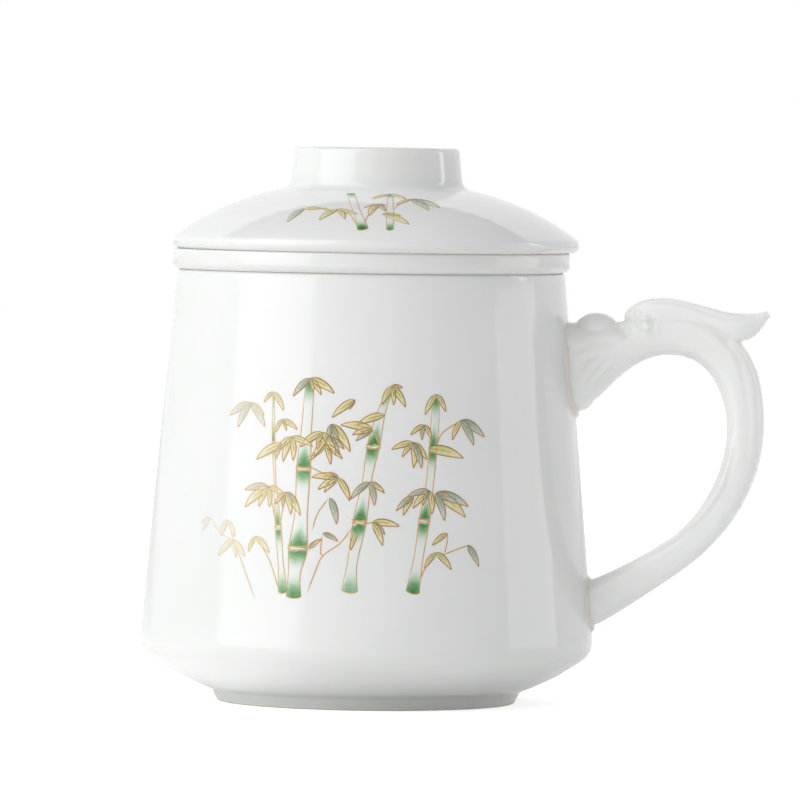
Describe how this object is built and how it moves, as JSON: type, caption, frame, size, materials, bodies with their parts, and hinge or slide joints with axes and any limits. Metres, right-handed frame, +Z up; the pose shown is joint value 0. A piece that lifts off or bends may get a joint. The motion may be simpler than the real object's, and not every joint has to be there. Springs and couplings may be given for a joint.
{
  "type": "lidded tea mug with infuser",
  "caption": "White porcelain tea mug with a dragon-shaped loop handle, a lift-out perforated infuser with a broad collar, and a domed lift-off lid with an open ring knob.",
  "frame": {"origin": "on the table, under the mug's axis of revolution, in the plane of the foot ring", "axes": "+Z up along the mug's axis, +X towards the handle, +Y to the back when the handle is on the right"},
  "size_m": [0.1414, 0.1022, 0.125],
  "materials": {
    "mug_body": "clear gloss glaze over white porcelain, bare on the foot ring's lower edge",
    "handle": "clear gloss glaze over white porcelain",
    "upper_handle_slip": "porcelain slip under pooled glaze, slightly warm in colour",
    "lower_handle_slip": "porcelain slip under pooled glaze, slightly warm in colour",
    "infuser": "clear gloss glaze over white porcelain, bare where the collar rests",
    "lid": "clear gloss glaze over white porcelain, bare where it rests on the collar",
    "knob_ring": "clear gloss glaze over white porcelain, bare on its top edge",
    "knob_slip": "porcelain slip under clear gloss glaze"
  },
  "bodies": {
    "mug": {"mug_body": "mug_body", "handle": "handle", "upper_handle_slip": "upper_handle_slip", "lower_handle_slip": "lower_handle_slip"},
    "infuser": {"infuser": "infuser"},
    "lid": {"lid": "lid", "knob_ring": "knob_ring", "knob_slip": "knob_slip"}
  },
  "joints": [
    {"name": "infuser_lift", "type": "slide", "parent": "mug", "child": "infuser", "axis": [0, 0, 1], "range_m": [0, 0.08]},
    {"name": "lid_lift", "type": "slide", "parent": "infuser", "child": "lid", "axis": [0, 0, 1], "range_m": [0, 0.04]}
  ]
}
